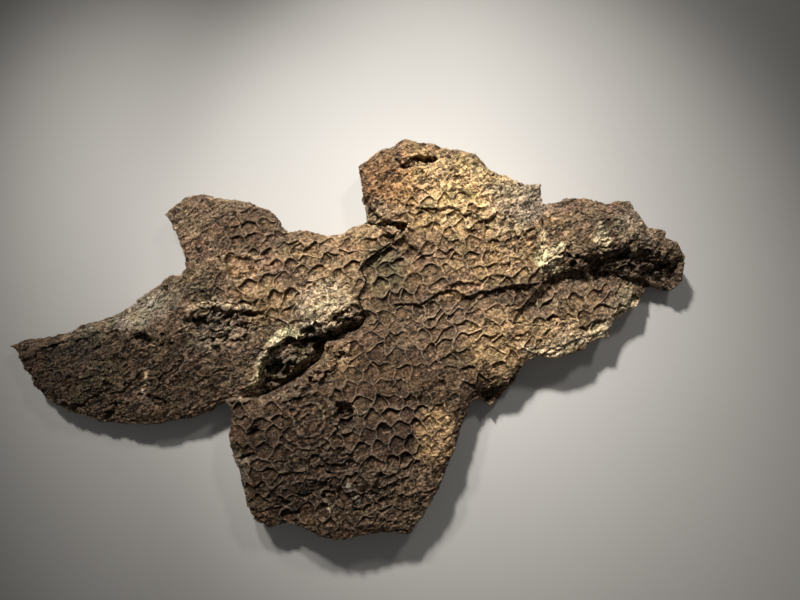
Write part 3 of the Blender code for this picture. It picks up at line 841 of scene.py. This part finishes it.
def geometry_tree(name, sizes=()):
    """An empty Geometry Nodes tree with a named input for each size, its wires, and a call that ends it."""
    data = bpy.data.node_groups.new(name, "GeometryNodeTree")
    data.interface.new_socket("Geometry", in_out="OUTPUT", socket_type="NodeSocketGeometry")
    inputs = {"Geometry": "Geometry", "Stone": "Material", **dict.fromkeys(sizes, "Float")}
    for title, kind in inputs.items():
        data.interface.new_socket(title, in_out="INPUT", socket_type="NodeSocket" + kind)
    tree = Tree(data)
    given = {title: tree.node("NodeGroupInput", output=title) for title in inputs}

    def end(geometry):
        realised = tree.node("GeometryNodeRealizeInstances", {}, {"Geometry": geometry})
        values = {"Geometry": realised, "Material": given["Stone"]}
        tree.node("NodeGroupOutput", {}, {"Geometry": tree.node("GeometryNodeSetMaterial", {}, values)})

    return tree, given, end


def stored(tree, geometry, name, value):
    values = {"Geometry": geometry, "Name": name, "Value": value}
    return tree.node("GeometryNodeStoreNamedAttribute", {"data_type": "FLOAT", "domain": "POINT"}, values)


def read(tree, name):
    return tree.node("GeometryNodeInputNamedAttribute", {"data_type": "FLOAT"}, {"Name": name})


def pushed(tree, geometry, offset):
    return tree.node("GeometryNodeSetPosition", {}, {"Geometry": geometry, "Offset": offset})


def scale_net(tree, place):
    """Where a place lies in the net of scales.

    Gives its share of the way from the scale's heart to the rim and to the deep end, its distance to the
    rim in metres, and the scale's chance from -0.5 to 0.5.
    """
    flat = place * (1, 1, 0)
    for size, reach in NET_BENDS:
        flat = flat + tree.sway(flat, size, (reach, reach, 0))
    width, height = SCALE_SIZE
    along = flat.dot((cos(NET_TURN) / width, sin(NET_TURN) / width, 0))
    across = flat.dot((-sin(NET_TURN) / height, cos(NET_TURN) / height, 0))
    row = (across - NET_STRAY / 2) * pi
    column = (along - NET_STRAY / 2) * (2 * pi)
    staggered = along + row.maths("COSINE", row) * ROW_SHIFT
    arched = across + column.maths("SINE", column) * row.maths("SINE", row) * ROW_ARCH
    net = tree.node("ShaderNodeCombineXYZ", {}, {"X": staggered, "Y": arched})
    values = {"Vector": net, "Scale": 1.0, "Randomness": NET_STRAY}

    def cells(output, feature="F1"):
        settings = {"voronoi_dimensions": "2D", "feature": feature}
        return tree.node("ShaderNodeTexVoronoi", settings, values, output)

    away = cells("Distance")
    chances = cells("Color")
    offset = net - cells("Position")
    edge = cells("Distance", "DISTANCE_TO_EDGE")
    depthward = (offset.dot(chances * LEAN_SPREAD + LEAN) / (away + edge) * 0.5 + 0.5).between(0, 1)
    radius = (away / (away + edge)).most(away * HEART_GROWTH).least(1)
    return radius, depthward, edge * height, chances.dot((0, 0, 1)) - 0.5


def hollow_of(radius, depthward, shallow):
    """Depth of a scale's hollow from 0 to 1: steep inside the rim, with a sloping floor."""
    return (1 - radius ** WALL_POWER) * (shallow + (1 - shallow) * depthward ** FLOOR_POWER)


def scale_wear(tree, place):
    """Share of the scales' relief left at a place."""
    return (tree.noise(place * (1, 1, 0), WEAR_SIZE) * WEAR_CONTRAST + 1.0).between(LEAST_RELIEF, 1)


def scale_net_tree():
    """Presses the net of scales into a block: ridges along the rims, leaning hollows inside."""
    tree, given, end = geometry_tree("scale_net", NET_RELIEF)
    place = tree.node("GeometryNodeInputPosition")
    radius, depthward, rim, chance = scale_net(tree, place)
    hollow = hollow_of(radius, depthward, read(tree, "shallow")) * (1 + chance * given["Depth Spread"])
    crest = rim.bell(given["Ridge Width"]) * read(tree, "ridge")
    rise = (crest - hollow * read(tree, "dish")) * scale_wear(tree, place)
    end(pushed(tree, given["Geometry"], tree.node("ShaderNodeCombineXYZ", {}, {"Z": rise})))
    return tree.data


def streaked(tree, place, stretch):
    """The place drawn out along the rock's grain, so that noise read there follows it."""
    along = place.dot((cos(STREAK_TURN), sin(STREAK_TURN), 0)) / stretch
    across = place.dot((-sin(STREAK_TURN), cos(STREAK_TURN), 0))
    return tree.node("ShaderNodeCombineXYZ", {}, {"X": along, "Y": across, "Z": place.dot((0, 0, 1))})


def facets(tree, place, size):
    """Small broken faces, each leaning its own way: their height, and their chance from -0.5 to 0.5."""
    scaled = place / size
    values = {"Vector": scaled, "Scale": 1.0}
    heart = tree.node("ShaderNodeTexVoronoi", {}, values, "Position")
    chances = tree.node("ShaderNodeTexVoronoi", {}, values, "Color")
    chance = chances.dot((1, 0, 0)) - 0.5
    lean = (scaled - heart).dot(chances - (0.5, 0.5, 0.5))
    return (lean + chance * FACET_STEP) * size, chance


def rock_face_tree():
    """Roughens a block: broken faces and swells, coarser where it is bare, and beds on the sides."""
    tree, given, end = geometry_tree("rock_face", ROCK_RELIEF)
    place = tree.node("GeometryNodeInputPosition")
    normal = tree.node("GeometryNodeInputNormal")
    skin = read(tree, "skin")
    bare = 1 - skin
    rock = {"skin": skin, "bare": bare, "rugged": read(tree, "rugged")}
    facing = normal.dot((0, 0, 1)).eased(*BACK_SLOPES)
    warped = place + tree.sway(place, *WARP)
    ragged = warped + tree.sway(place, *RAGGED)
    streak = streaked(tree, ragged, CHIP_STRETCH)
    chip, chip_chance = facets(tree, streak, given["Chip Size"])
    small, small_chance = facets(tree, streak, given["Chip Size"] * 0.5)
    hackle, hackle_chance = facets(tree, streak, given["Hackle Size"])

    rise = tree.noise(warped, *SWELL_NOISE) * given["Swell"] * (bare + rock["rugged"])
    rise = rise + (chip + small) * given["Chip Slope"] * weighed(rock, CHIP_SHARES)
    rise = rise + hackle * given["Hackle Slope"] * weighed(rock, HACKLE_SHARES)
    rise = rise + tree.noise(ragged, *GRAIN_NOISE) * weighed(rock, GRAIN_HEIGHTS)
    rise = rise * (BACK_SHARE + (1 - BACK_SHARE) * facing)
    beds = tree.noise(place * BED_DENSITY + tree.sway(place, *BED_WARP), *BED_NOISE)
    side = (1 - read(tree, "front")) * facing
    rise = rise - side * (given["Bed Sink"] + beds * given["Bed Height"])
    shade = (chip_chance + small_chance) * bare + hackle_chance * weighed(rock, HACKLE_SHADES)
    end(stored(tree, pushed(tree, given["Geometry"], normal * rise), "shade", shade))
    return tree.data


def shade_and_wear_tree():
    """Marks how far points stand proud of what is round them, finely and broadly, for painted highlight and
    shade.
    """
    tree, given, end = geometry_tree("shade_and_wear")
    place = tree.node("GeometryNodeInputPosition")
    normal = tree.node("GeometryNodeInputNormal")
    geometry = given["Geometry"]
    for name, rounds in BLUR_ROUNDS.items():
        values = {"Value": place, "Iterations": rounds}
        blurred = tree.node("GeometryNodeBlurAttribute", {"data_type": "FLOAT_VECTOR"}, values)
        geometry = stored(tree, geometry, name, (place - blurred).dot(normal) / MM)
    end(geometry)
    return tree.data


def add_tree(thing, tree, values):
    modifier = thing.modifiers.new(tree.name, "NODES")
    modifier.node_group = tree
    sockets = {item.name: item.identifier for item in tree.interface.items_tree if item.in_out == "INPUT"}
    for name, value in values.items():
        modifier[sockets[name]] = value


# ---- stone


def new_material(name):
    """A material, its tree and shader, and the place on the object."""
    material = bpy.data.materials.new(name)
    material.use_nodes = True
    tree = Tree(material.node_tree)
    shader = material.node_tree.nodes["Principled BSDF"]
    return material, tree, shader, tree.node("ShaderNodeTexCoord", output="Object")


def stone_material(name):
    """Weathered sandstone: painted tones broken up by noise, painted shade and dirt in the hollows, and
    pale ridges from painted highlight and rubbing.
    """
    material, tree, shader, place = new_material(name)

    def attribute(title, output="Fac"):
        return tree.node("ShaderNodeAttribute", {"attribute_name": title}, {}, output)

    skin = attribute("skin")
    dish = attribute("dish")
    radius, depthward, rim, cell_chance = scale_net(tree, place)
    left = scale_wear(tree, place)
    scaly = (dish / FULL_DISH).least(1) * left
    hollow = hollow_of(radius, depthward, attribute("shallow")) * scaly
    tall = (attribute("ridge") / FULL_RIDGE).least(1)
    crest = rim.bell(CREST_WIDTH) * tall * tall * (LEAST_CREST + left * (1 - LEAST_CREST))
    size, contrast, middle, least = CREST_BREAKS
    crest = crest * (tree.noise(place, size) * contrast + middle).between(least, 1)

    ragged = place + tree.sway(place, *RAGGED)
    streak = streaked(tree, ragged, MOTTLE_STRETCH)
    hackle, hackle_chance = facets(tree, streak, HACKLE_SIZE)
    flake, flake_chance = facets(tree, streak, FLAKE_SIZE)
    broken = 1 - skin * SKIN_SMOOTHNESS
    faces = (hackle + flake) * broken
    mottle = tree.noise(streak, *MOTTLES)
    layers = {
        "blotch": tree.noise(place, *BLOTCHES),
        "mottle": mottle,
        "grain": tree.noise(ragged, *GRAINS),
        "facet": (hackle_chance + flake_chance) * broken,
        "faces": faces,
        # raised broken faces are lightened and low ones darkened: painted highlight and shade
        "proud": faces / PROUD_HEIGHT,
        # how far the surface stands out, finely and broadly: painted highlight and rubbing where it stands
        # out, painted shade and dirt where it is sunk
        **{title: attribute(title) for title in ("shade", "worn_light_and_shade", "sunk")},
        # painted shade and dirt in each scale's hollow
        "hollow": hollow,
        # painted shadow and dirt in a band inside each rim, strongest at the hollow's deep end
        "under": (rim - UNDER_RIM).bell(UNDER_WIDTH) * depthward * scaly,
        "crest": crest,
        "scale": cell_chance * scaly,
    }

    hue = tree.noise(place, *HUES, colour=True) * HUE_SPREAD + (1, 1, 1)
    colour = attribute("tone", "Color") * weighed(layers, LIGHTNESS).between(*LIGHTNESS_LIMITS) * hue
    # Painted shade and dirt darken the colour, and painted highlight and rubbing lighten it.
    colour = tree.mixed(weighed(layers, SHADE_AND_DIRT).between(0, MOST_SHADE_AND_DIRT), colour, colour * SHADE_AND_DIRT_TINT)
    colour = tree.mixed(weighed(layers, HIGHLIGHT_AND_RUB).between(0, MOST_HIGHLIGHT_AND_RUB), colour, colour * HIGHLIGHT_AND_RUB_GAIN + HIGHLIGHT_AND_RUB_TINT)
    relief = weighed(layers, RELIEF) + mottle * (MOTTLE_HEIGHT - skin * MOTTLE_SMOOTHING)
    relief = relief - hollow * dish * left * HOLLOW_SHARE
    tree.feed(shader, {
        "Base Color": colour,
        "Roughness": weighed(layers, ROUGHNESS),
        "Normal": tree.node("ShaderNodeBump", {}, {"Strength": 1.0, "Distance": 1.0, "Height": relief}),
        "IOR": STONE_IOR,
        "Specular IOR Level": STONE_SPECULAR,
    })
    return material


# ---- meshes


def mesh_vectors(mesh, title):
    """The points or the normals of a mesh, one row each."""
    values = np.empty(len(mesh.vertices) * 3, np.float32)
    mesh.vertices.foreach_get(title, values)
    return values.reshape(-1, 3).astype(float)


def set_points(mesh, points):
    mesh.vertices.foreach_set("co", points.astype(np.float32).reshape(-1))
    mesh.update()


def set_layer(mesh, name, values, kind="FLOAT", field="value"):
    layer = mesh.attributes.new(name, kind, "POINT")
    layer.data.foreach_set(field, values.astype(np.float32).reshape(-1))


def settle(thing):
    """Replaces the object's mesh by what its modifiers make of it, and removes them."""
    bpy.context.view_layer.update()
    graph = bpy.context.evaluated_depsgraph_get()
    shaped = thing.evaluated_get(graph)
    made = bpy.data.meshes.new_from_object(shaped, preserve_all_data_layers=True, depsgraph=graph)
    thing.modifiers.clear()
    old = thing.data
    thing.data = made
    bpy.data.meshes.remove(old)


def reshape(thing, kind, settings):
    """Puts the object's mesh through a modifier of this kind."""
    modifier = thing.modifiers.new(kind.lower(), kind)
    for name, setting in settings.items():
        setattr(modifier, name, setting)
    settle(thing)


def rounded_stone(name, node):
    """A copy of a block's solid with its facets rounded off and its broken edges kept."""
    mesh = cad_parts[node].data.copy()
    shape = bmesh.new()
    shape.from_mesh(mesh)
    bmesh.ops.remove_doubles(shape, verts=shape.verts, dist=SAME_POINT)
    crease = shape.edges.layers.float.new("crease_edge")
    pin = shape.verts.layers.float.new("crease_vert")
    for edge in shape.edges:
        edge[crease] = 1.0 if len(edge.link_faces) == 2 and edge.calc_face_angle() > KEPT_EDGE else 0.0
    for corner in shape.verts:
        kept = [edge for edge in corner.link_edges if edge[crease]]
        ways = [(edge.other_vert(corner).co - corner.co).normalized() for edge in kept]
        bend = len(ways) == 2 and ways[0].dot(ways[1]) > KEPT_CORNER
        corner[pin] = 1.0 if len(ways) > 2 or bend else 0.0
    shape.to_mesh(mesh)
    shape.free()
    stone = added(name, mesh)
    reshape(stone, "SUBSURF", {"levels": ROUNDING_LEVELS, "render_levels": ROUNDING_LEVELS})
    return stone


def carve_broad(stone):
    points = mesh_vectors(stone.data, "co")
    plan = plan_of(points)
    shift = scarp_shift(plan, BROAD_SCARPS, "broad scarps")
    shift += bevel_shift(plan, BROAD_BEVELS, "broad bevels")
    shift += pit_shift(plan, BROAD_PITS, "broad pits") - pit_shift(plan, BROAD_BULGES, "broad bulges")
    points = lowered(points, shift)
    points[:, 2] = np.maximum(points[:, 2], 0)
    set_points(stone.data, points)


def carve_fine(stone, base):
    """Cuts the fine relief, and marks where the stone is skin, rugged or stained."""
    points = mesh_vectors(stone.data, "co")
    plan = plan_of(points)
    upright = mesh_vectors(stone.data, "normal")[:, 2]
    front = smooth(*FRONT_SLOPES, upright) * smooth(*FRONT_LEVELS, points[:, 2])
    shift = scarp_shift(plan, FINE_SCARPS, "fine scarps") + crack_shift(plan, CRACKS, "cracks")
    shift += pit_shift(plan, FINE_PITS, "fine pits") - pit_shift(plan, FINE_BULGES, "fine bulges")
    shift += ring_shift(plan, RINGS, "rings")
    set_points(stone.data, lowered(points, shift * front))
    rugged = strength_at(plan, RUGGED, "rugged") * front
    faded = strength_at(plan, FADED, "faded")
    uneven = strayed(plan, "patches")
    skin, dish, shallow, ridge = np.zeros((4, len(plan)))
    for outline, patch_dish, patch_shallow, patch_ridge in SKIN_PATCHES:
        share = within(uneven, outline, PATCH_RIM)
        skin += share
        dish += share * patch_dish * MM
        shallow += share * patch_shallow
        ridge += share * patch_ridge * MM
    kept = front * (1 - rugged) * (1 - faded)
    left = (1 - FADED_SKIN * faded) * front * (1 - rugged)
    marks = {
        "front": front, "skin": np.minimum(skin, 1) * left, "rugged": rugged, "dish": dish * kept,
        "shallow": shallow, "ridge": ridge * kept,
    }
    for title, values in marks.items():
        set_layer(stone.data, title, values)
    rgba = np.concatenate([painted(plan, base), np.ones((len(plan), 1))], axis=1)
    set_layer(stone.data, "tone", rgba, "FLOAT_COLOR", "color")


def thinned(stone):
    """Keeps the piece in the solid's box, brings it under the limit and drops what only its making used."""
    low, high = (np.array(corner, float) for corner in cad_bounds)
    points = mesh_vectors(stone.data, "co")
    set_points(stone.data, np.clip(points, low + BOX_MARGIN, high - BOX_MARGIN))
    ratio = min(1.0, MOST_TRIANGLES / (2 * len(stone.data.polygons)))
    reshape(stone, "DECIMATE", {"ratio": ratio, "use_collapse_triangulate": True})
    for title in ("front", "rugged"):
        stone.data.attributes.remove(stone.data.attributes[title])
    stone.data.polygons.foreach_set("use_smooth", np.ones(len(stone.data.polygons), bool))


finish_trees = ((scale_net_tree(), NET_RELIEF), (rock_face_tree(), ROCK_RELIEF), (shade_and_wear_tree(), {}))
for node, base in BASE_TONE.items():
    side = node.split("_")[0]
    material = stone_material(side + "_stone")
    stone = rounded_stone(side + "_stone", node)
    carve_broad(stone)
    reshape(stone, "REMESH", {"mode": "VOXEL", "voxel_size": FINE_VOXEL})
    carve_fine(stone, base)
    for tree, relief in finish_trees:
        add_tree(stone, tree, {"Stone": material, **relief})
    settle(stone)
    thinned(stone)
    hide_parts(node)
    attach(stone, "root")


# ---- floor, light and camera


def floor_material():
    material, tree, shader, place = new_material("pale_floor")
    colour = tree.mixed(tree.noise(place, *FLOOR_CLOUDS) + 0.5, *FLOOR_COLOURS)
    tree.feed(shader, {"Base Color": colour, "Roughness": FLOOR_ROUGHNESS})
    return material


def lay_floor():
    corners = [(x * FLOOR_HALF, y * FLOOR_HALF, 0) for x, y in ((-1, -1), (1, -1), (1, 1), (-1, 1))]
    mesh = bpy.data.meshes.new("floor")
    mesh.from_pydata(corners, [], [(0, 1, 2, 3)])
    mesh.materials.append(floor_material())
    floor = added("floor", mesh)


def hang_lamp(name, place, aim, size, power, spread):
    light = bpy.data.lights.new(name, "AREA")
    light.size = size
    light.energy = power
    light.color = LAMP_COLOUR
    light.spread = radians(spread)
    lamp = added(name, light)
    lamp.location = place
    lamp.rotation_euler = (Vector(aim) - Vector(place)).to_track_quat("-Z", "Y").to_euler()


lay_floor()
for lamp in LAMPS:
    hang_lamp(*lamp)

world = bpy.data.worlds.new("studio")
world.use_nodes = True
room = world.node_tree.nodes["Background"]
Tree(world.node_tree).feed(room, {"Color": ROOM_COLOUR, "Strength": ROOM_LIGHT})
bpy.context.scene.world = world
bpy.context.scene.view_settings.view_transform = "Standard"

camera = added("camera", bpy.data.cameras.new("camera"))
camera.location = (*SIGHT_POINT, SIGHT_HEIGHT)
camera.data.lens = LENS
bpy.context.scene.camera = camera
